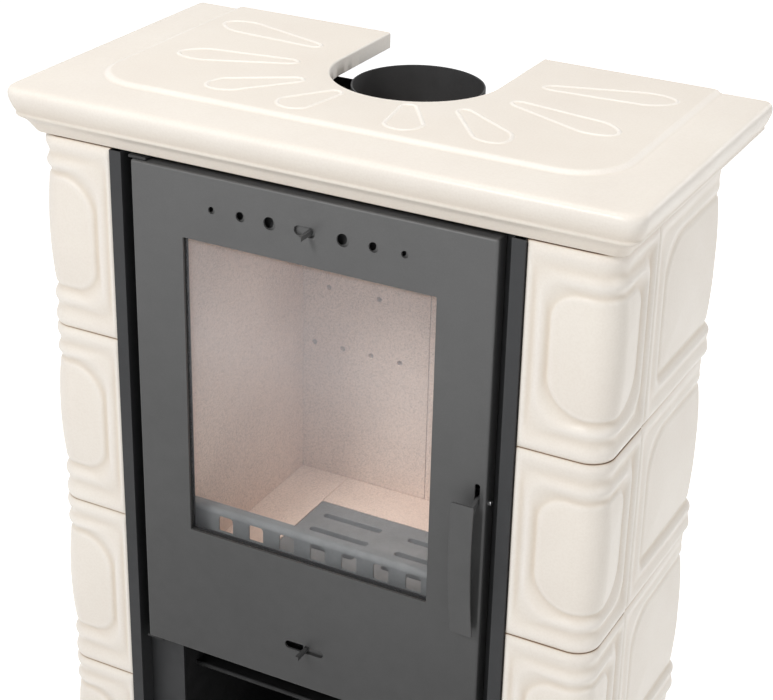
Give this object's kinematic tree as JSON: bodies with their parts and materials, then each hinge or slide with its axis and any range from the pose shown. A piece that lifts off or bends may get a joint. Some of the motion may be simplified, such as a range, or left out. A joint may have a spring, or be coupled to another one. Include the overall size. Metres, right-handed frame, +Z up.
{
  "type": "tiled wood stove",
  "caption": "Free-standing wood stove clad in glazed relief tiles, with a ceramic top plate notched for the flue, a glazed fire door and an open log store below.",
  "frame": {"origin": "on the floor, at the centre of the ring of tiles", "axes": "+Z up; the fire door faces -Y; +X to the viewer's right when facing the door"},
  "size_m": [0.736, 0.3895, 0.999],
  "materials": {
    "ceramic_glaze": "glossy warm ivory glaze, softly uneven",
    "door_paint": "satin dark grey stove paint",
    "trim_paint": "matt charcoal stove paint",
    "black_steel": "matt black stove paint",
    "fire_lining": "matt pressed mineral board, pinkish beige",
    "grate_iron": "rough grey cast iron",
    "zinc_sheet": "dull zinc-coated sheet",
    "window_glass": "clear heat-proof glass",
    "seal_rope": "black braided fibre rope",
    "bright_steel": "bare turned steel"
  },
  "bodies": {
    "root": {"ash_pan": "zinc_sheet", "back_lining_left": "fire_lining", "back_lining_right": "fire_lining", "base_plate": "black_steel", "corner_tile_left_1": "ceramic_glaze", "corner_tile_left_2": "ceramic_glaze", "corner_tile_left_3": "ceramic_glaze", "corner_tile_left_4": "ceramic_glaze", "corner_tile_right_1": "ceramic_glaze", "corner_tile_right_2": "ceramic_glaze", "corner_tile_right_3": "ceramic_glaze", "corner_tile_right_4": "ceramic_glaze", "firebox_back": "black_steel", "firebox_shelf": "black_steel", "firebox_side_left": "black_steel", "firebox_side_right": "black_steel", "firebox_top": "black_steel", "floor_brick_back": "fire_lining", "floor_brick_front": "fire_lining", "floor_brick_left": "fire_lining", "floor_brick_right": "fire_lining", "flue_collar": "black_steel", "front_frame": "trim_paint", "front_strip_left": "trim_paint", "front_strip_right": "trim_paint", "grate_bed": "black_steel", "hinge_bracket_bottom": "black_steel", "hinge_bracket_top": "black_steel", "latch_striker": "black_steel", "rear_shield": "black_steel", "side_lining_left": "fire_lining", "side_lining_right": "fire_lining", "side_panel_left": "black_steel", "side_panel_right": "black_steel", "side_tile_left_1": "ceramic_glaze", "side_tile_left_2": "ceramic_glaze", "side_tile_left_3": "ceramic_glaze", "side_tile_left_4": "ceramic_glaze", "side_tile_right_1": "ceramic_glaze", "side_tile_right_2": "ceramic_glaze", "side_tile_right_3": "ceramic_glaze", "side_tile_right_4": "ceramic_glaze", "store_liner": "black_steel", "top_plate": "ceramic_glaze"},
    "door": {"door_leaf": "door_paint", "air_channel": "black_steel", "gasket_channel": "black_steel", "door_gasket": "seal_rope", "window_glass": "window_glass", "glass_gasket": "seal_rope", "glass_frame": "black_steel", "latch_pin": "bright_steel", "latch_bracket": "black_steel"},
    "handle": {"handle_blade": "door_paint", "latch_lever": "door_paint"},
    "upper_slide": {"upper_air_slide": "door_paint"},
    "lower_slide": {"lower_air_slide": "door_paint"},
    "grate": {"grate": "grate_iron"},
    "log_retainer": {"log_retainer": "grate_iron"},
    "baffle": {"baffle": "fire_lining"}
  },
  "joints": [
    {"name": "door_swing", "type": "hinge", "parent": "root", "child": "door", "pos_m": [-0.209, -0.157, 0.6292], "axis": [0, 0, -1], "range_deg": [0, 110]},
    {"name": "latch_turn", "type": "hinge", "parent": "door", "child": "handle", "pos_m": [0.206, -0.155, 0.6332], "axis": [-1, 0, 0], "range_deg": [0, 25]},
    {"name": "upper_air", "type": "slide", "parent": "door", "child": "upper_slide", "axis": [1, 0, 0], "range_m": [-0.015, 0.004]},
    {"name": "lower_air", "type": "slide", "parent": "door", "child": "lower_slide", "axis": [1, 0, 0], "range_m": [-0.023, 0.02]},
    {"name": "grate_lift", "type": "slide", "parent": "root", "child": "grate", "axis": [0, 0, 1], "range_m": [0, 0.06]},
    {"name": "retainer_lift", "type": "slide", "parent": "root", "child": "log_retainer", "axis": [0, 0, 1], "range_m": [0, 0.06]},
    {"name": "baffle_lift", "type": "slide", "parent": "root", "child": "baffle", "axis": [0, 0, 1], "range_m": [0, 0.02]}
  ]
}
